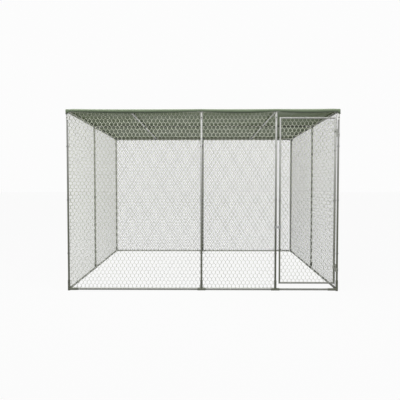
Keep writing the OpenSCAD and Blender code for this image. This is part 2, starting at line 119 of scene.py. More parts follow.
# A group of plain numbers: inputs with their defaults, and the names of the outputs
def newGroup(name, inputs, outputs):
    group = bpy.data.node_groups.new(name, "ShaderNodeTree")
    for label, value in inputs.items():
        socket = group.interface.new_socket(label, in_out="INPUT", socket_type="NodeSocketFloat")
        socket.default_value = value
    for label in outputs:
        group.interface.new_socket(label, in_out="OUTPUT", socket_type="NodeSocketFloat")
    return group, group.nodes.new("NodeGroupInput").outputs, group.nodes.new("NodeGroupOutput").inputs


# A group placed in a tree with values of its own
def placeGroup(tree, group, inputs):
    return addNode(tree, "ShaderNodeGroup", inputs, node_tree=group).outputs


# A new material, its tree and its Principled shader
def newMaterial(name):
    material = bpy.data.materials.new(name)
    material.use_nodes = True
    return material, material.node_tree, material.node_tree.nodes["Principled BSDF"]


# Warm is the share that red gains and blue loses
def grey(level, warm=0.0):
    return (level * (1 + warm), level, level * (1 - warm), 1.0)


oliveTint = {"red": 0.05, "blue": 0.24}  # shares lost at the full olive lean


# A grey that leans to olive: lean is the share of the full tint
def oliveGrey(level, lean=1.0):
    return (level * (1 - oliveTint["red"] * lean), level, level * (1 - oliveTint["blue"] * lean), 1.0)


spangle = {
    "crystal": 90.0, "contrast": 0.12,  # defaults of the group's inputs
    "cloudScale": 14.0, "cloudDetail": 4.0, "cellShare": 0.6, "cloudShare": 0.8, "mean": 0.7,
    "toneRange": (0.3, 1.1), "rough": (0.34, 0.56), "relief": 0.4,
}


# Zinc spangle: crystals of a hot-dip coat, each with its own tone, under a slow cloud
def makeSpangle():
    inputs = {"Crystal": spangle["crystal"], "Contrast": spangle["contrast"]}
    group, given, out = newGroup("zincSpangle", inputs, ["Tone", "Rough", "Height"])
    place = objectPlace(group)
    crystals = addNode(group, "ShaderNodeTexVoronoi", {"Vector": place, "Scale": given["Crystal"]}).outputs
    cellTone = addNode(group, "ShaderNodeSeparateColor", {0: crystals["Color"]}).outputs[0]
    cloud = noiseNode(group, place, spangle["cloudScale"], spangle["cloudDetail"])
    clouded = mathNode(group, "MULTIPLY", cloud, spangle["cloudShare"])
    mixed = mathNode(group, "MULTIPLY_ADD", cellTone, spangle["cellShare"], clouded)
    centred = mathNode(group, "SUBTRACT", mixed, spangle["mean"])
    group.links.new(mathNode(group, "MULTIPLY_ADD", centred, given["Contrast"], 1.0), out["Tone"])
    group.links.new(rangeNode(group, mixed, spangle["toneRange"], spangle["rough"]), out["Rough"])
    group.links.new(mathNode(group, "MULTIPLY", crystals["Distance"], spangle["relief"]), out["Height"])
    return group


heightShading = {
    "cleanFrom": 1.9, "dullBelow": 0.5,  # defaults of the group's inputs, in metres
    "streaks": (60.0, 60.0, 4.0), "detail": 3.0, "spread": 0.5,
}


# Painted light and shade by height: a change of tone from a top tone high up to a tone near the ground, in a
# line that streaky noise breaks up by half the spread each way. On the tubes it is painted shade that darkens
# them towards the ground; on the net wires it is painted light that makes them lighter low down
def makeHeightShading():
    inputs = {"Top Tone From": heightShading["cleanFrom"], "Ground Tone Below": heightShading["dullBelow"]}
    group, given, out = newGroup("paintedHeightShading", inputs, ["Dull"])
    place = objectPlace(group)
    height = addNode(group, "ShaderNodeSeparateXYZ", {0: place}).outputs[2]
    stretched = addNode(group, "ShaderNodeMapping", {"Vector": place, "Scale": heightShading["streaks"]}).outputs[0]
    broken = noiseNode(group, stretched, 1.0, heightShading["detail"])
    lowered = mathNode(group, "SUBTRACT", height, heightShading["spread"] / 2)
    shifted = mathNode(group, "MULTIPLY_ADD", broken, heightShading["spread"], lowered)
    keptShare = rangeNode(group, shifted, (given["Ground Tone Below"], given["Top Tone From"]))
    group.links.new(mathNode(group, "SUBTRACT", 1.0, keptShare), out["Dull"])
    return group


dustAndTopLight = {
    "amount": 0.3, "patchy": 1.0,  # defaults of the group's inputs
    "scale": 22.0, "detail": 5.0, "patchRange": (0.35, 0.7), "facingUp": (0.2, 0.95),
}


# Dust and painted top light: a thin pale film on faces that look up. On the cover sheet it is also a painted
# highlight where light from above falls. Patchy is the share of it that noise breaks into patches
def makeDustAndTopLight():
    group, given, out = newGroup("dustAndTopLightFilm", {"Amount": dustAndTopLight["amount"], "Patchy": dustAndTopLight["patchy"]}, ["Film"])
    facing = addNode(group, "ShaderNodeNewGeometry").outputs["Normal"]
    upward = addNode(group, "ShaderNodeSeparateXYZ", {0: facing}).outputs[2]
    patches = noiseNode(group, objectPlace(group), dustAndTopLight["scale"], dustAndTopLight["detail"])
    bareSpots = rangeNode(group, patches, dustAndTopLight["patchRange"], (1.0, 0.0))
    even = mathNode(group, "SUBTRACT", 1.0, mathNode(group, "MULTIPLY", bareSpots, given["Patchy"]))
    film = mathNode(group, "MULTIPLY", rangeNode(group, upward, dustAndTopLight["facingUp"]), even)
    group.links.new(mathNode(group, "MULTIPLY", film, given["Amount"]), out["Film"])
    return group


spangleGroup, heightShadingGroup, dustAndTopLightGroup = makeSpangle(), makeHeightShading(), makeDustAndTopLight()


# Coated steel: the tone goes from the bright tone high up to the tone near the ground low down, as painted
# light and shade by height, times the crystals' tone, and then towards dust on faces that look up
def zincMaterial(name, look):
    material, tree, shader = newMaterial(name)
    coat = placeGroup(tree, spangleGroup, {"Crystal": look["crystal"], "Contrast": look["contrast"]})
    heights = {"Top Tone From": look["cleanFrom"], "Ground Tone Below": look["dullBelow"]}
    dull = placeGroup(tree, heightShadingGroup, heights)["Dull"]
    film = placeGroup(tree, dustAndTopLightGroup, {"Amount": look["dustAndTopLight"]})["Film"]
    toned = mixColour(tree, dull, look["bright"], look["dull"])
    crystalled = mixColour(tree, 1.0, toned, coat["Tone"], "MULTIPLY")
    tree.links.new(mixColour(tree, film, crystalled, look["dustAndTopLightColour"]), shader.inputs["Base Color"])
    coatRough = mathNode(tree, "ADD", coat["Rough"], look["rougher"])
    rough = mathNode(tree, "MULTIPLY_ADD", film, look["dustRough"], coatRough)
    tree.links.new(rough, shader.inputs["Roughness"])
    addBump(tree, shader, coat["Height"], look)
    shader.inputs["Metallic"].default_value = look["metallic"]
    return material


# The tube's tone falls from bright high up to dark near the ground: painted shade by height
tubeLook = {
    "bright": oliveGrey(0.92, 0.1), "dull": oliveGrey(0.145), "cleanFrom": 2.4, "dullBelow": 0.35,
    "crystal": 90.0, "contrast": 0.38, "dustAndTopLight": 0.25, "dustAndTopLightColour": grey(0.42, 0.06), "dustRough": 0.3,
    "rougher": 0.0, "bump": 0.25, "reliefDepth": 0.0004, "metallic": 0.25,
}
connectorLook = dict(
    tubeLook, bright=oliveGrey(0.66, 0.2), dull=oliveGrey(0.14), crystal=140.0, rougher=0.08, metallic=0.35,
)
# The net wire leans to olive as a painted reflection of green light from the cover, and is lighter low down
# as painted light
wireLook = dict(
    tubeLook, bright=oliveGrey(0.75, 0.8), dull=oliveGrey(0.93, 0.4), cleanFrom=1.15, dullBelow=0.45,
    crystal=200.0, contrast=0.3, dustAndTopLight=0.1, rougher=0.05, metallic=0.1,
)
clampLook = dict(
    tubeLook, bright=oliveGrey(0.50, 0.3), dull=oliveGrey(0.34, 0.5), crystal=160.0, contrast=0.3,
    rougher=0.06, metallic=0.4,
)
boltLook = dict(
    tubeLook, bright=grey(0.06), dull=grey(0.05, 0.03), crystal=220.0, contrast=0.5, dustAndTopLight=0.35, metallic=0.7,
)
# The first five are the slots' finishes. All the rest but the hasp's are copies made lighter or darker for
# single pieces: painted light and painted shade for how brightly each piece is lit where it stands
zincLooks = {
    "galvanisedTube": tubeLook,
    "galvanisedConnector": connectorLook,
    "netWire": wireLook,
    "darkZinc": clampLook,
    "darkBolt": boltLook,
    "purlinTube": dict(tubeLook, bright=grey(0.86), dull=grey(0.86), dustAndTopLight=0.0, metallic=0.1),
    # The beam is near black as painted shade under the cover
    "beamTube": dict(tubeLook, bright=oliveGrey(0.12), dull=oliveGrey(0.12), metallic=0.1),
    "cornerPostTube": dict(tubeLook, bright=oliveGrey(0.40, 0.2)),
    "doorPostTube": dict(tubeLook, bright=oliveGrey(0.76, 0.2), dull=oliveGrey(0.115)),
    "roofCornerTube": dict(connectorLook, bright=oliveGrey(0.97, 0.2), contrast=0.2, metallic=0.0),
    "sidePostTube": dict(tubeLook, bright=oliveGrey(0.62, 0.5), dull=oliveGrey(0.32, 0.7)),
    # The back posts are painted lighter to undo the cover's shade: painted light
    "backPostTube": dict(tubeLook, bright=oliveGrey(0.95, 0.3), dull=oliveGrey(0.62, 0.4)),
    "doorTube": dict(tubeLook, bright=oliveGrey(0.72, 0.2), dull=oliveGrey(0.17)),
    "sillTube": dict(tubeLook, dull=oliveGrey(0.24, 0.4)),
    # The side top rails are near white as painted light in the cover's shade
    "roofRailTube": dict(
        tubeLook, bright=oliveGrey(0.97, 0.3), dull=oliveGrey(0.97, 0.3), contrast=0.2, dustAndTopLight=0.0, metallic=0.0,
    ),
    "backRailTube": dict(tubeLook, bright=oliveGrey(0.62, 0.8), dull=oliveGrey(0.62, 0.8), metallic=0.1),
    # The back net's wire is dark grey as painted shade under the cover
    "backNetWire": dict(wireLook, bright=grey(0.22), dull=grey(0.20, 0.02), dustAndTopLight=0.0),
    "leftNetWire": dict(wireLook, bright=oliveGrey(0.62, 0.8), dull=oliveGrey(0.58, 0.8)),
    "rightNetWire": dict(wireLook, bright=oliveGrey(0.14, 0.8), dull=oliveGrey(0.13, 0.8)),
    "haspZinc": dict(clampLook, bright=grey(0.55), dull=grey(0.45)),
}
zinc = {name: zincMaterial(name, look) for name, look in zincLooks.items()}

clipLook = {
    "colour": grey(0.22), "chalk": grey(0.34, 0.02), "chalkShare": 0.5,
    "grain": 900.0, "detail": 2.0, "grainRange": (0.3, 0.7), "rough": (0.5, 0.68),
    "bump": 0.3, "reliefDepth": 0.0002,
}


# Moulded grey plastic of the clips: fine grain, slightly chalky on top
def makeClipPlastic(look):
    material, tree, shader = newMaterial("clipPlastic")
    grain = noiseNode(tree, objectPlace(tree), look["grain"], look["detail"])
    film = placeGroup(tree, dustAndTopLightGroup, {"Amount": look["chalkShare"]})["Film"]
    tree.links.new(mixColour(tree, film, look["colour"], look["chalk"]), shader.inputs["Base Color"])
    tree.links.new(rangeNode(tree, grain, look["grainRange"], look["rough"]), shader.inputs["Roughness"])
    addBump(tree, shader, grain, look)
    return material


clipPlastic = makeClipPlastic(clipLook)

sheetLook = {
    "colour": (0.143, 0.196, 0.085, 1.0), "faded": (0.178, 0.232, 0.112, 1.0),
    "cloud": 2.2, "cloudDetail": 6.0, "fadeRange": (0.35, 0.7), "creaseFade": 0.4,
    "skirtLitTone": (0.190, 0.248, 0.150, 1.0), "skirtLitBy": 0.10,  # the skirt's lighter, greyer tone as painted light, complete at this share of the way down
    "weave": 420.0, "weaveTone": (0.9, 1.04),  # tapes to a metre, and the tone between and on them
    "crease": 0.52, "creaseWidth": 0.012,  # metres between packing creases
    "creaseWhite": (0.27, 0.32, 0.22, 1.0), "creaseShare": 0.55,
    "brokenRange": (0.3, 0.6), "brokenShare": (0.25, 1.0),  # the cloud breaks the creases up
    # Dust and a painted highlight: the pale film lightens the cover's top and the upper curve of its rim
    "dustAndTopLight": 0.45, "dustAndTopLightPatchy": 0.2, "dustAndTopLightColour": (0.42, 0.45, 0.38, 1.0),
    "hemShade": 0.72, "hemShadeFrom": 0.25,  # painted shade: share of the tone lost at the hem, and where it starts down the skirt
    "seam": 0.80, "seamWidth": 0.05,  # welded seam of the hem, as shares of the skirt
    "roughRange": (0.3, 0.7), "rough": (0.48, 0.62),
    "weaveRelief": 0.3, "seamRelief": 1.2, "creaseRelief": 2.5, "bump": 0.35, "reliefDepth": 0.0008,
}


# Coated sheet: tape weave under the coat, packing creases, dust and a painted highlight on top, a lighter
# skirt as painted light, and a welded seam and painted shade that darkens the skirt towards the hem. The maps
# flatCut and skirtRun come with the mesh
def makeGreenSheet(look):
    material, tree, shader = newMaterial("greenSheet")
    flat = addNode(tree, "ShaderNodeUVMap", uv_map="flatCut").outputs[0]
    skirt = addNode(tree, "ShaderNodeUVMap", uv_map="skirtRun").outputs[0]
    downSkirt, hemShadeWeight = addNode(tree, "ShaderNodeSeparateXYZ", {0: skirt}).outputs[:2]
    tapes, creases = [], []
    for side in addNode(tree, "ShaderNodeSeparateXYZ", {0: flat}).outputs[:2]:
        turns = mathNode(tree, "MULTIPLY", side, look["weave"] * math.pi)
        tapes.append(mathNode(tree, "ABSOLUTE", mathNode(tree, "SINE", turns)))
        near = mathNode(tree, "PINGPONG", side, look["crease"] / 2)
        creases.append(rangeNode(tree, near, (0.0, look["creaseWidth"]), (1.0, 0.0)))
    weave = mathNode(tree, "MAXIMUM", *tapes)
    crease = mathNode(tree, "MAXIMUM", *creases)
    cloud = noiseNode(tree, flat, look["cloud"], look["cloudDetail"])
    clouded = rangeNode(tree, cloud, look["fadeRange"])
    fading = mathNode(tree, "MULTIPLY_ADD", crease, look["creaseFade"], clouded, clamp=True)
    creaseLeft = rangeNode(tree, cloud, look["brokenRange"], look["brokenShare"])
    broken = mathNode(tree, "MULTIPLY", crease, creaseLeft)
    cloth = mixColour(tree, fading, look["colour"], look["faded"])
    whitening = mathNode(tree, "MULTIPLY", broken, look["creaseShare"])
    cloth = mixColour(tree, whitening, cloth, look["creaseWhite"])
    # The skirt is painted lighter and greyer than the top sheet: painted light
    skirtLitShare = rangeNode(tree, downSkirt, (0.0, look["skirtLitBy"]))
    cloth = mixColour(tree, skirtLitShare, cloth, look["skirtLitTone"])
    tapeTone = rangeNode(tree, weave, (0.0, 1.0), look["weaveTone"])
    cloth = mixColour(tree, 1.0, cloth, tapeTone, "MULTIPLY")
    film = placeGroup(tree, dustAndTopLightGroup, {"Amount": look["dustAndTopLight"], "Patchy": look["dustAndTopLightPatchy"]})["Film"]
    cloth = mixColour(tree, film, cloth, look["dustAndTopLightColour"])
    # Painted shade: the skirt darkens towards the hem, fully on the front and back and less on the sides
    hemShading = rangeNode(tree, downSkirt, (look["hemShadeFrom"], 1.0), (0.0, look["hemShade"]))
    keptShare = mathNode(tree, "SUBTRACT", 1.0, mathNode(tree, "MULTIPLY", hemShading, hemShadeWeight))
    tree.links.new(mixColour(tree, 1.0, cloth, keptShare, "MULTIPLY"), shader.inputs["Base Color"])
    tree.links.new(rangeNode(tree, cloud, look["roughRange"], look["rough"]), shader.inputs["Roughness"])
    fromSeam = mathNode(tree, "ABSOLUTE", mathNode(tree, "SUBTRACT", downSkirt, look["seam"]))
    seam = rangeNode(tree, fromSeam, (0.0, look["seamWidth"]), (1.0, 0.0))
    relief = mathNode(tree, "MULTIPLY", weave, look["weaveRelief"])
    relief = mathNode(tree, "MULTIPLY_ADD", seam, look["seamRelief"], relief)
    relief = mathNode(tree, "MULTIPLY_ADD", broken, look["creaseRelief"], relief)
    addBump(tree, shader, relief, look)
    return material


greenSheet = makeGreenSheet(sheetLook)
print("materials made")

# Carried-over nodes: the record's slot names become the finishes above
slotFinish = {
    "galvanised_tube": zinc["galvanisedTube"], "galvanised_connector": zinc["galvanisedConnector"],
    "dark_bolt": zinc["darkBolt"], "net_wire": zinc["netWire"], "dark_zinc": zinc["darkZinc"],
    "clip_plastic": clipPlastic, "green_sheet": greenSheet,
}
# Nodes that wear another finish than their slot's: copies painted lighter or darker as painted light and
# shade, and the hasp's own finish
nodesOf = {
    "purlinTube": ["left_purlin", "right_purlin"],
    "beamTube": ["left_beam", "mid_beam", "right_beam", "beam_crosses"],
    "cornerPostTube": ["front_left_post", "front_right_post", "door_top_tube"],
    "doorPostTube": ["door_post"],
    "roofCornerTube": [
        "front_left_roof_corner", "front_right_roof_corner",
        "back_left_roof_corner", "back_right_roof_corner",
    ],
    "sidePostTube": ["left_mid_post", "right_mid_post", "back_mid_post"],
    "backPostTube": [
        "back_left_post", "back_right_post", "back_left_foot_corner", "back_right_foot_corner",
        "back_bottom_rail",
    ],
    "doorTube": ["latch_stile", "hinge_stile"],
    "sillTube": ["front_bottom_rail", "door_bottom_tube"],
    "roofRailTube": ["left_top_rail", "right_top_rail"],
    "backRailTube": ["back_top_rail"],
    "haspZinc": ["hasp", "hasp_bracket", "hasp_pin", "hasp_staple"],
}
nodeFinish = {node: zinc[finish] for finish, members in nodesOf.items() for node in members}
for nodeName, nodeObject in nodes.items():
    for holder in nodeObject.material_slots:
        slotName = holder.material.name.split(".")[0]
        holder.material = nodeFinish.get(nodeName, slotFinish[slotName])
print("carried-over nodes finished")


# Mesh helpers. addPiece puts arrays of faces, each with its own corner count, into one mesh
def addPiece(name, points, faces, body, slot, material):
    mesh = bpy.data.meshes.new(name)
    corners = np.concatenate([group.ravel() for group in faces]).astype(np.int32)
    counts = np.concatenate([np.full(len(group), group.shape[1]) for group in faces])
    mesh.vertices.add(len(points))
    mesh.vertices.foreach_set("co", points.astype(np.float32).ravel())
    mesh.loops.add(len(corners))
    mesh.loops.foreach_set("vertex_index", corners)
    mesh.polygons.add(len(counts))
    mesh.polygons.foreach_set("loop_start", (np.cumsum(counts) - counts).astype(np.int32))
    mesh.polygons.foreach_set("use_smooth", np.full(len(counts), True))
    mesh.update(calc_edges=True)
    mesh.materials.append(material)
    piece = bpy.data.objects.new(name, mesh)
    scene.collection.objects.link(piece)
    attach(piece, body)
    return piece


# Each vector over its own length
def unit(vectors):
    return vectors / np.linalg.norm(vectors, axis=-1, keepdims=True)


# Even angles of a full turn
def turnAngles(steps):
    return np.arange(steps) * 2 * math.pi / steps


# A round profile carried along each of many paths at once: paths is (many, steps, 3), up is any
# direction that no path runs along. The ring at each step stands square to the mean of its two segments
def sweep(paths, radius, sides, up, closed=False):
    many, steps, _ = paths.shape
    if closed:
        ahead = unit(np.roll(paths, -1, 1) - paths)
        along = unit(ahead + np.roll(ahead, 1, 1))
    else:
        ahead = unit(np.diff(paths, axis=1))
        along = unit(np.concatenate([ahead[:, :1], ahead[:, 1:] + ahead[:, :-1], ahead[:, -1:]], 1))
    up = np.broadcast_to(np.asarray(up, float), along.shape)
    first = unit(up - (up * along).sum(-1, keepdims=True) * along)
    second = np.cross(along, first)
    turn = turnAngles(sides)[:, None]
    ring = first[:, :, None] * np.cos(turn) + second[:, :, None] * np.sin(turn)
    points = (paths[:, :, None] + radius * ring).reshape(-1, 3)
    index = np.arange(many * steps * sides).reshape(many, steps, sides)
    here, there = (index, np.roll(index, -1, 1)) if closed else (index[:, :-1], index[:, 1:])
    walls = np.stack([here, np.roll(here, -1, 2), np.roll(there, -1, 2), there], -1).reshape(-1, 4)
    if closed:
        return points, [walls]
    return points, [walls, index[:, 0, ::-1], index[:, -1]]


# Several swept parts as one: each part's faces count on from the points before it
def joined(parts):
    shift = np.cumsum([0] + [len(points) for points, _ in parts])
    faces = [group + start for (_, groups), start in zip(parts, shift) for group in groups]
    return np.concatenate([points for points, _ in parts]), faces


# Half the sum of the two corners of a node's box
def middle(node):
    low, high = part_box(node)
    return (np.array(low) + np.array(high)) / 2


# Half of a node's box along one axis
def halfSize(node, axis):
    low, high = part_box(node)
    return (high[axis] - low[axis]) / 2


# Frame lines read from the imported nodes, in metres
postX = {name: middle(name)[0] for name in ("front_mid_post", "door_post", "left_purlin", "right_purlin")}
halfX = middle("front_right_post")[0]
frontY, backY = middle("front_left_post")[1], middle("back_left_post")[1]
sideY = middle("left_mid_post")[1]
baseZ = middle("front_bottom_rail")[2]
frontZ, backZ = middle("front_top_rail")[2], middle("back_top_rail")[2]
roofTilt = math.atan2(frontZ - backZ, backY - frontY)
roofLength = math.hypot(frontZ - backZ, backY - frontY)
beamAlong = (sideY - frontY) / math.cos(roofTilt)
tubeRadius = halfSize("door_post", 0)
doorRadius = halfSize("door_top_tube", 2)
doorTubeY = middle("door_top_tube")[1]

# Netting of twisted wires. The side nets are of thinner wire, and the back net has smaller gaps
netting = {
    "cellWidth": 0.044, "rowHeight": 0.038,
    "wire": 0.0046, "edgeWire": 0.0040,  # diameters
    "twistShare": 0.64, "twistSteps": 3, "sides": 3, "rimSteps": 40, "edgeSides": 5,
    "facetGrow": 1.12,  # a three-sided wire is drawn this much larger, to look as wide as a round one
    "inset": 0.0018,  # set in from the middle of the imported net
    "belly": 0.004, "bellySpan": 0.75,
}
sideNetting = dict(netting, wire=0.0024)
backNetting = dict(netting, cellWidth=0.030, rowHeight=0.026, wire=0.0034, twistSteps=2, bellySpan=1.0)


# Wire m swings between columns m and m + 1. In each row it winds once round its neighbour on a helix, then
# slants across to the other column. It starts and ends halfway between the two, on the edge wire
def wirePaths(width, height, net):
    half = width / round(width / (net["cellWidth"] / 2))
    columns, rows = round(width / half), round(height / net["rowHeight"])
    step = height / rows
    wires = np.arange(columns)[:, None, None]
    row = np.arange(rows)[None, :, None]
    turn = np.linspace(0, 1, net["twistSteps"] + 1)[None, None, :]
    swung = (wires + row) % 2
    angle = 2 * math.pi * turn + math.pi * swung
    across = (wires + swung) * half + net["wire"] / 2 * np.cos(angle)
    upward = (row + 0.5 + net["twistShare"] * (turn - 0.5)) * step + 0 * across
    outward = net["wire"] / 2 * np.sin(angle)
    inside = np.stack([across, upward, outward], -1).reshape(columns, -1, 3)
    edge = (wires[:, :, 0] + 0.5) * half
    foot = np.stack([edge, 0 * edge, 0 * edge], -1)
    head = np.stack([edge, 0 * edge + height, 0 * edge], -1)
    return np.concatenate([foot, inside, head], 1)


# A panel lies in its own plane, given by its origin and the directions across and inwards. Its height goes
# evenly from height at the origin to farHeight at the other end, and it bellies inwards as a squared sine
def netPanel(name, node, place, body="frame", net=netting, material=zinc["netWire"]):
    origin, across, inward = (np.asarray(place[key], float) for key in ("origin", "across", "inward"))
    width, height, farHeight = place["width"], place["height"], place["farHeight"]
    upward = np.array([0.0, 0.0, 1.0])

    def onPanel(flat):
        rise = flat[..., 1] * (1 + (farHeight / height - 1) * flat[..., 0] / width)
        crosswise = np.sin(math.pi * flat[..., 0] / width / net["bellySpan"]) ** 2
        swell = crosswise * np.sin(math.pi * rise / height) ** 2
        depth = flat[..., 2] + net["inset"] + net["belly"] * swell
        return origin + flat[..., :1] * across + rise[..., None] * upward + depth[..., None] * inward

    corners = np.array([[0, 0, 0], [width, 0, 0], [width, height, 0], [0, height, 0]], float)
    steps = np.linspace(0, 1, net["rimSteps"], endpoint=False)[:, None]
    rim = (corners[:, None] + steps * (np.roll(corners, -1, 0) - corners)[:, None]).reshape(1, -1, 3)
    paths = onPanel(wirePaths(width, height, net))
    wires = sweep(paths, net["wire"] / 2 * net["facetGrow"], net["sides"], inward)
    selvedge = sweep(onPanel(rim), net["edgeWire"] / 2, net["edgeSides"], inward, closed=True)
    piece = addPiece(name, *joined([wires, selvedge]), body, "net_wire", material)
    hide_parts(node)


# The plane of a net that faces front or back, or of one of several equal parts of it
def crossPlace(node, inward, part=0, parts=1):
    low, high = (np.array(corner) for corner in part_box(node))
    height, width = high[2] - low[2], (high[0] - low[0]) / parts
    return {
        "origin": (low[0] + part * width, (low[1] + high[1]) / 2, low[2]),
        "across": (1, 0, 0), "inward": (0, inward, 0),
        "width": width, "height": height, "farHeight": height,
    }


# The plane of a side net, which gets lower with the roof towards the back
def sidePlace(node, inward):
    low, high = (np.array(corner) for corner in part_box(node))
    width, height = high[1] - low[1], high[2] - low[2]
    return {
        "origin": ((low[0] + high[0]) / 2, low[1], low[2]), "across": (0, 1, 0), "inward": (inward, 0, 0),
        "width": width, "height": height, "farHeight": height - math.tan(roofTilt) * width,
    }


backParts = ("left", "right")
netPanel("front_netting", "front_net", crossPlace("front_net", 1))
for part, side in enumerate(backParts):
    netPanel(
        "back_netting_" + side, "back_net", crossPlace("back_net", -1, part, len(backParts)),
        net=backNetting, material=zinc["backNetWire"],
    )
for side, inward in (("left", 1), ("right", -1)):
    netPanel(
        side + "_netting", side + "_net", sidePlace(side + "_net", inward),
        net=sideNetting, material=zinc[side + "NetWire"],
    )
netPanel("door_netting", "door_net", crossPlace("door_net", 1), body="door")
print("netting woven")

# Ties: a loop of wire round a rail and the net's edge wire beside it, clear of the connectors
tie = {"spacing": 0.24, "wire": 0.0018, "gap": 0.0006, "steps": 14, "sides": 4, "keepOff": 0.118}


# Each loop is an ellipse across the rail. It clears the rail on one side and the edge wire on the other, and
# is as wide at the rail's axis as the rail with its gaps. toNet goes from the axis to the edge wire
def tieLoops(start, end, toNet, radius, connectors):
    start, end, toNet = (np.asarray(vector, float) for vector in (start, end, toNet))
    length = np.linalg.norm(end - start)
    way, first = (end - start) / length, unit(toNet)
    places = np.arange(tie["spacing"] / 2, length, tie["spacing"])
    clear = np.abs(places[:, None] - np.asarray(connectors)).min(1) > tie["keepOff"]
    axis = start + places[clear][:, None] * way
    near = radius + tie["gap"] + tie["wire"] / 2
    far = np.linalg.norm(toNet) + netting["edgeWire"] / 2 + tie["gap"] + tie["wire"] / 2
    shift, reach = (far - near) / 2, (far + near) / 2
    girth = near / math.sqrt(1 - (shift / reach) ** 2)
    turn = turnAngles(tie["steps"])[:, None]
    loop = first * (shift + reach * np.cos(turn)) + np.cross(way, first) * girth * np.sin(turn)
    return sweep(axis[:, None] + loop, tie["wire"] / 2, tie["sides"], way, closed=True)


# Ties along the bottom and top rails of all four sides, in one piece
def makeTies():
    loops = []
    for node, y, topZ, inward in (("front_net", frontY, frontZ, 1), ("back_net", backY, backZ, -1)):
        low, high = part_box(node)
        depth = (low[1] + high[1]) / 2 + inward * netting["inset"] - y
        posts = np.array([-halfX, postX["front_mid_post"], postX["door_post"], halfX]) - low[0]
        purlins = np.array([postX["left_purlin"], postX["right_purlin"]]) - low[0]
        for z, edgeZ, connectors in ((baseZ, low[2], posts), (topZ, high[2], np.append(posts, purlins))):
            start, end = (low[0], y, z), (high[0], y, z)
            loops.append(tieLoops(start, end, (0, depth, edgeZ - z), tubeRadius, connectors))
    for node, x, inward in (("left_net", -halfX, 1), ("right_net", halfX, -1)):
        low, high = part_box(node)
        depth = (low[0] + high[0]) / 2 + inward * netting["inset"] - x
        posts = np.array([frontY, sideY, backY]) - low[1]
        startZ, endZ = (frontZ - math.tan(roofTilt) * (y - frontY) for y in (low[1], high[1]))
        for nearZ, farZ, edgeZ in ((baseZ, baseZ, low[2]), (startZ, endZ, high[2])):
            start, end = (x, low[1], nearZ), (x, high[1], farZ)
            loops.append(tieLoops(start, end, (depth, 0, edgeZ - nearZ), tubeRadius, posts))
    addPiece("net_ties", *joined(loops), "frame", "net_wire", zinc["netWire"])


# Ties along the top and bottom tubes of the door
def makeDoorTies():
    low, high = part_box("door_net")
    depth = (low[1] + high[1]) / 2 + netting["inset"] - doorTubeY
    ends = np.array([0.0, high[0] - low[0]])
    loops = []
    for z in (low[2], high[2]):
        start, end = (low[0], doorTubeY, z), (high[0], doorTubeY, z)
        loops.append(tieLoops(start, end, (0, depth, 0), doorRadius, ends))
    addPiece("door_net_ties", *joined(loops), "door", "net_wire", zinc["netWire"])


weld = {"bead": 0.0014, "sink": 0.0004, "steps": 40, "sides": 6}


# Weld beads: a ring in the mitre plane at each corner of the door frame, an ellipse that is longer by the
# mitre's slant
def makeWelds():
    low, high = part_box("door_net")
    size = doorRadius - weld["sink"]
    turn = turnAngles(weld["steps"])[:, None]
    rings = []
    for z, level in ((low[2], 1), (high[2], -1)):
        for x, side in ((low[0], 1), (high[0], -1)):
            slope = level * side
            ring = size * np.cos(turn) * np.array([0, 1, 0]) + size * np.sin(turn) * np.array([1, 0, slope])
            path = np.array([x, doorTubeY, z]) + ring
            square = np.array([slope, 0, -1]) / math.sqrt(2)
            rings.append(sweep(path[None], weld["bead"], weld["sides"], square, closed=True))
    addPiece("door_welds", *joined(rings), "door", "galvanised_connector", zinc["galvanisedConnector"])


makeTies()
makeDoorTies()
makeWelds()
print("ties and welds made")

# Roof cover, in metres on the roof's slope: along runs from the front rail's axis to the back one's
cover = {
    "step": 0.024, "topRings": 30, "poleShare": 0.02, "bendRings": 6, "skirtRings": 8,
    "under": 0.0147, "thick": 0.0015, "skirtGap": 0.0175,  # from the rails' axes
    "rimRadius": 0.005, "rimRounder": 0.009, "cornerRadius": 0.012, "cornerSteps": 6,
    "frontHem": (0.010, 0.018), "sideHem": (0.010, 0.0), "backHem": (0.020, 0.0),  # at the posts, and the sag
    "cornerHem": 0.038, "cornerFlap": 0.055,
    "hemBead": 0.0022, "hemSides": 6, "sideHemShade": 0.15,  # the sides get less painted hem shade than the front and back
    "sag": 0.011, "sagBay": 1.6, "edgeRun": 0.25,
    "beamShare": 0.27, "beamPower": 0.6,  # sag that is left at the beam, and how fast it comes back
    "wrinkle": 0.0012, "waves": ((9.0, 5.0, 0.0), (-7.0, 11.0, 1.3), (17.0, -3.0, 0.7)), "waveGain": 2.0,
    "pillow": 0.006, "tug": 0.005, "tugReach": 0.22, "tugFolds": 12,
    "tuck": 0.007, "ripple": 0.0012, "rippleWaves": ((17.0, 0.0), (41.0, 0.8)),
}
coverX = halfX + cover["skirtGap"]
coverFront, coverBack = -cover["skirtGap"], roofLength + cover["skirtGap"]


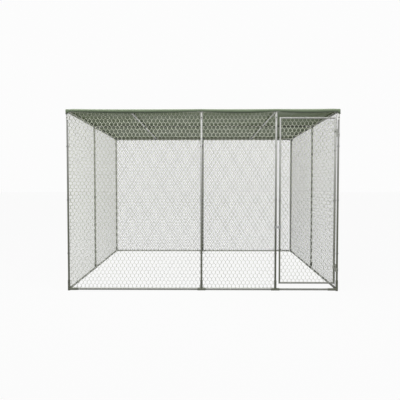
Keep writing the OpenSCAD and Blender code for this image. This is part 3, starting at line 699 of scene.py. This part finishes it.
# The rim is a rectangle with rounded corners, walked at an even step from the front left corner. It gives the
# places, the outward directions and the number of each point's edge: front, right, back, left
def rimPoints():
    radius = cover["cornerRadius"]
    corners = np.array([
        [-coverX, coverFront], [coverX, coverFront], [coverX, coverBack], [-coverX, coverBack],
    ])
    bend = np.linspace(0, math.pi / 2, cover["cornerSteps"])[1:-1, None]
    places, outs, edges = [], [], []
    for side, start in enumerate(corners):
        following = (side + 1) % len(corners)
        end = corners[following]
        way = unit(end - start)
        out = np.array([way[1], -way[0]])
        length = np.linalg.norm(end - start)
        count = round((length - 2 * radius) / cover["step"]) + 1
        run = np.linspace(radius, length - radius, count)
        direction = out * np.cos(bend) + way * np.sin(bend)
        centre = end - radius * way - radius * out
        places += [start + run[:, None] * way, centre + radius * direction]
        outs += [np.repeat(out[None], count, 0), direction]
        edges += [np.full(count, side), np.where(bend[:, 0] < math.pi / 4, side, following)]
    return np.concatenate(places), np.concatenate(outs), np.concatenate(edges)


# Smooth step of a share: three times its square less twice its cube
def smoothShare(share):
    return share * share * (3 - 2 * share)


# Share of the way across the bay that a value lies in, and the bay's width
def inBay(lines, value):
    bay = np.clip(np.searchsorted(lines, value) - 1, 0, len(lines) - 2)
    width = lines[bay + 1] - lines[bay]
    return np.clip((value - lines[bay]) / width, 0, 1), width


# Depth of the hem below the rail's axis, and how free of the connectors each place is: 0 at a tie, 1 mid-bay.
# The hem sags as a half sine in each bay, and steps smoothly down to cornerHem at both ends
def hemDepth(along, ties, hang):
    ties = np.array(ties)
    share, _ = inBay(ties, along)
    fromEnd = np.minimum(along - ties[0], ties[-1] - along)
    flap = smoothShare(np.clip(1 - fromEnd / cover["cornerFlap"], 0, 1))
    free = np.maximum(np.sin(math.pi * share), 0)
    hung = hang[0] + hang[1] * free
    return np.stack([hung + (cover["cornerHem"] - hung) * flap, free])


# From the roof's own slope to the frame: turned by the tilt about the front rail's axis
def onRoof(points):
    x, along, rise = points[..., 0], points[..., 1], points[..., 2]
    y = frontY + along * math.cos(roofTilt) + rise * math.sin(roofTilt)
    z = frontZ - along * math.sin(roofTilt) + rise * math.cos(roofTilt)
    return np.stack([x, y, z], -1)


# Folds that fan out from each corner: a wave of the angle about the corner, strongest at tugReach from it
def cornerTugs(x, along):
    tugs = 0
    for cornerX in (-halfX, halfX):
        for cornerAlong in (0.0, roofLength):
            run, depth = np.abs(x - cornerX), np.abs(along - cornerAlong)
            reach = np.hypot(run, depth) / cover["tugReach"]
            tugs = tugs + np.sin(cover["tugFolds"] * np.arctan2(depth, run)) * reach * np.exp(1 - reach)
    return tugs


# The cover sags as half sines between the purlins, and less where it crosses the beam, with a few slow waves.
# Between its packing creases it bulges as the root of a product of sines
def topHeight(x, along):
    acrossShare, width = inBay(np.array([-halfX, postX["left_purlin"], postX["right_purlin"], halfX]), x)
    downShare, _ = inBay(np.array([0.0, beamAlong, roofLength]), along)
    fromEnds = np.minimum(along, roofLength - along)
    fromRails = np.minimum(halfX - np.abs(x), fromEnds)
    offBeam = np.sin(math.pi * downShare) ** cover["beamPower"]
    dip = cover["beamShare"] + (1 - cover["beamShare"]) * offBeam
    held = smoothShare(np.clip(fromEnds / cover["edgeRun"], 0, 1))
    slack = np.sin(math.pi * acrossShare) * dip * held
    sag = cover["sag"] * width / cover["sagBay"] * slack
    waves = sum(np.sin(side * x + down * along + phase) for side, down, phase in cover["waves"])
    wrinkles = cover["wrinkle"] * waves * np.clip(offBeam * slack * cover["waveGain"], 0, 1)
    folds = np.abs(np.sin(math.pi * x / sheetLook["crease"]) * np.sin(math.pi * along / sheetLook["crease"]))
    bulge = cover["pillow"] * np.sqrt(folds) * np.clip(fromRails / cover["edgeRun"], 0, 1)
    return bulge + cover["tug"] * cornerTugs(x, along) - sag + wrinkles


# Rings of points: across the top they are the rim drawn in towards the middle, then they bend over the rim
# on a quarter circle, then they go evenly down the skirt, which tucks in and ripples more towards the hem
def coverGrid(rim, out, depth, free, centre, top):
    bendRadius = (cover["rimRadius"] + cover["rimRounder"] * np.sqrt(free))[:, None]
    inner = rim - bendRadius * out
    share = np.linspace(cover["poleShare"], 1, cover["topRings"])[:, None, None]
    flatRings = centre + share * (inner - centre)
    rise = top + topHeight(flatRings[..., 0], flatRings[..., 1])
    bend = np.linspace(0, math.pi / 2, cover["bendRings"])[1:, None, None]
    rounded = inner + bendRadius * np.sin(bend) * out
    drop = top - bendRadius * (1 - np.cos(bend))
    down = np.linspace(0, 1, cover["skirtRings"])[1:, None]
    run = np.arange(len(rim)) * cover["step"]
    ripple = np.mean([np.sin(run * rate + phase) for rate, phase in cover["rippleWaves"]], 0)
    swing = cover["ripple"] * down * ripple - cover["tuck"] * free * down * down
    level = (top - bendRadius[:, 0]) * (1 - down) - depth * down
    return np.concatenate([
        np.concatenate([flatRings, rise[..., None]], -1),
        np.concatenate([rounded, drop], -1),
        np.concatenate([rim + swing[..., None] * out, level[..., None]], -1),
    ], 0)


# Two maps for the sheet's finish: the place on the flat cut in metres, and the share of the way down the
# skirt with how much painted hem shade that side gets
def layFlat(piece, flat, down, hemShadeWeight):
    corner = np.zeros(len(piece.data.loops), np.int32)
    piece.data.loops.foreach_get("vertex_index", corner)
    for name, places in (("flatCut", flat), ("skirtRun", np.stack([down, hemShadeWeight], -1))):
        layer = piece.data.uv_layers.new(name=name)
        layer.uv.foreach_set("vector", places[corner].astype(np.float32).ravel())


# The sheet is the grid of rings with a fan of faces at its middle. On the flat cut the skirt lies outside the
# rim by as much as it falls. A round bead runs along the last ring
def makeCover():
    rim, out, edge = rimPoints()
    count = len(rim)
    frontHem = hemDepth(
        rim[:, 0], [-coverX, postX["front_mid_post"], postX["door_post"], coverX], cover["frontHem"],
    )
    backHem = hemDepth(rim[:, 0], [-coverX, postX["front_mid_post"], coverX], cover["backHem"])
    sideHem = hemDepth(rim[:, 1], [coverFront, beamAlong, coverBack], cover["sideHem"])
    depth, free = np.select([edge == 0, edge == 2], [frontHem, backHem], sideHem)
    top = cover["under"] + cover["thick"]
    centre = np.array([0.0, roofLength / 2])
    grid = coverGrid(rim, out, depth, free, centre, top)
    points = onRoof(grid)
    pole = onRoof(np.array([[*centre, top + topHeight(*centre)]]))
    index = np.arange(len(grid) * count).reshape(len(grid), count)
    here, there = index[:-1], index[1:]
    walls = np.stack([here, there, np.roll(there, -1, 1), np.roll(here, -1, 1)], -1).reshape(-1, 4)
    fan = np.stack([np.full(count, index.size), index[0], np.roll(index[0], -1)], -1)
    allPoints = np.concatenate([points.reshape(-1, 3), pole])
    piece = addPiece("roof_sheet", allPoints, [walls, fan], "frame", "green_sheet", greenSheet)
    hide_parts("roof_cover")
    overRim = (np.arange(len(grid)) >= cover["topRings"])[:, None]
    fall = np.maximum(0, top - grid[..., 2]) * overRim
    flat = grid[..., :2] + fall[..., None] * out
    downShare = fall / (top + depth)
    hemShadeWeight = np.where(edge % 2 == 0, 1.0, cover["sideHemShade"])
    layFlat(
        piece, np.concatenate([flat.reshape(-1, 2), centre[None]]), np.append(downShare.ravel(), 0),
        np.append(np.tile(hemShadeWeight, len(grid)), 0),
    )
    wall = piece.modifiers.new("sheetThickness", "SOLIDIFY")
    wall.thickness = cover["thick"]
    wall.offset = -1
    hem = sweep(points[-1][None], cover["hemBead"], cover["hemSides"], (0, 0, 1), closed=True)
    bead = addPiece("roof_sheet_hem", *hem, "frame", "green_sheet", greenSheet)
    ringOf = np.repeat(np.arange(count), cover["hemSides"])
    layFlat(bead, flat[-1][ringOf], np.ones(len(ringOf)), hemShadeWeight[ringOf])
    return piece, bead, float(depth.mean())


roofSheet, hemBead, meanDepth = makeCover()

# Floor and light. What the camera sees of floor and world is nearly white, and both light the run less
stage = {
    "floorSize": 80.0, "floorColour": grey(0.55), "floorRough": 0.9,
    "floorWhite": grey(1.0), "showWhite": 0.94,
    "white": grey(0.975), "world": 0.40,
}
lamps = {
    "key": {"place": (-0.3, -2.6, 4.6), "aim": (0.0, -1.4, 1.5), "size": (5.0, 1.4), "watts": 140.0},
    "fill": {"place": (1.5, -8.0, 2.0), "aim": (0.0, 0.0, 1.0), "size": (5.0, 3.0), "watts": 30.0},
}


# 1 on rays from the camera, and on what they reach by reflection or through something clear
def seenRay(tree):
    path = addNode(tree, "ShaderNodeLightPath").outputs
    indirect = mathNode(tree, "MAXIMUM", path["Is Glossy Ray"], path["Is Transmission Ray"])
    return mathNode(tree, "MAXIMUM", path["Is Camera Ray"], indirect)


# A square at the ground, as white as showWhite says where it is seen
def makeFloor():
    half = stage["floorSize"] / 2
    mesh = bpy.data.meshes.new("floor")
    corners = [(-half, -half, 0), (half, -half, 0), (half, half, 0), (-half, half, 0)]
    mesh.from_pydata(corners, [], [(0, 1, 2, 3)])
    floor = bpy.data.objects.new("floor", mesh)
    scene.collection.objects.link(floor)
    material, tree, shader = newMaterial("paleFloor")
    shader.inputs["Base Color"].default_value = stage["floorColour"]
    shader.inputs["Roughness"].default_value = stage["floorRough"]
    white = addNode(tree, "ShaderNodeEmission", {"Color": stage["floorWhite"], "Strength": 1.0})
    share = mathNode(tree, "MULTIPLY", seenRay(tree), stage["showWhite"])
    mixed = addNode(tree, "ShaderNodeMixShader", {0: share, 1: shader.outputs[0], 2: white.outputs[0]})
    tree.links.new(mixed.outputs[0], tree.nodes["Material Output"].inputs["Surface"])
    mesh.materials.append(material)


# Full strength where the world is seen, and stage's share of it where it only lights
def makeWorld():
    world = bpy.data.worlds.new("studio")
    world.use_nodes = True
    tree = world.node_tree
    backdrop = tree.nodes["Background"].inputs
    backdrop["Color"].default_value = stage["white"]
    strength = mathNode(tree, "MULTIPLY_ADD", seenRay(tree), 1 - stage["world"], stage["world"])
    tree.links.new(strength, backdrop["Strength"])
    scene.world = world


# Each lamp is turned by the pitch and heading of the line from its place to its aim
def makeLamps():
    for name, lamp in lamps.items():
        data = bpy.data.lights.new(name, "AREA")
        data.shape = "RECTANGLE"
        data.size, data.size_y = lamp["size"]
        data.energy = lamp["watts"]
        lampObject = bpy.data.objects.new(name, data)
        scene.collection.objects.link(lampObject)
        lampObject.location = lamp["place"]
        way = np.array(lamp["aim"]) - np.array(lamp["place"])
        pitch = math.atan2(way[2], math.hypot(way[0], way[1]))
        heading = math.atan2(way[1], way[0])
        lampObject.rotation_euler = (math.pi / 2 + pitch, 0, heading - math.pi / 2)


makeFloor()
makeWorld()
makeLamps()
print("stage lit")
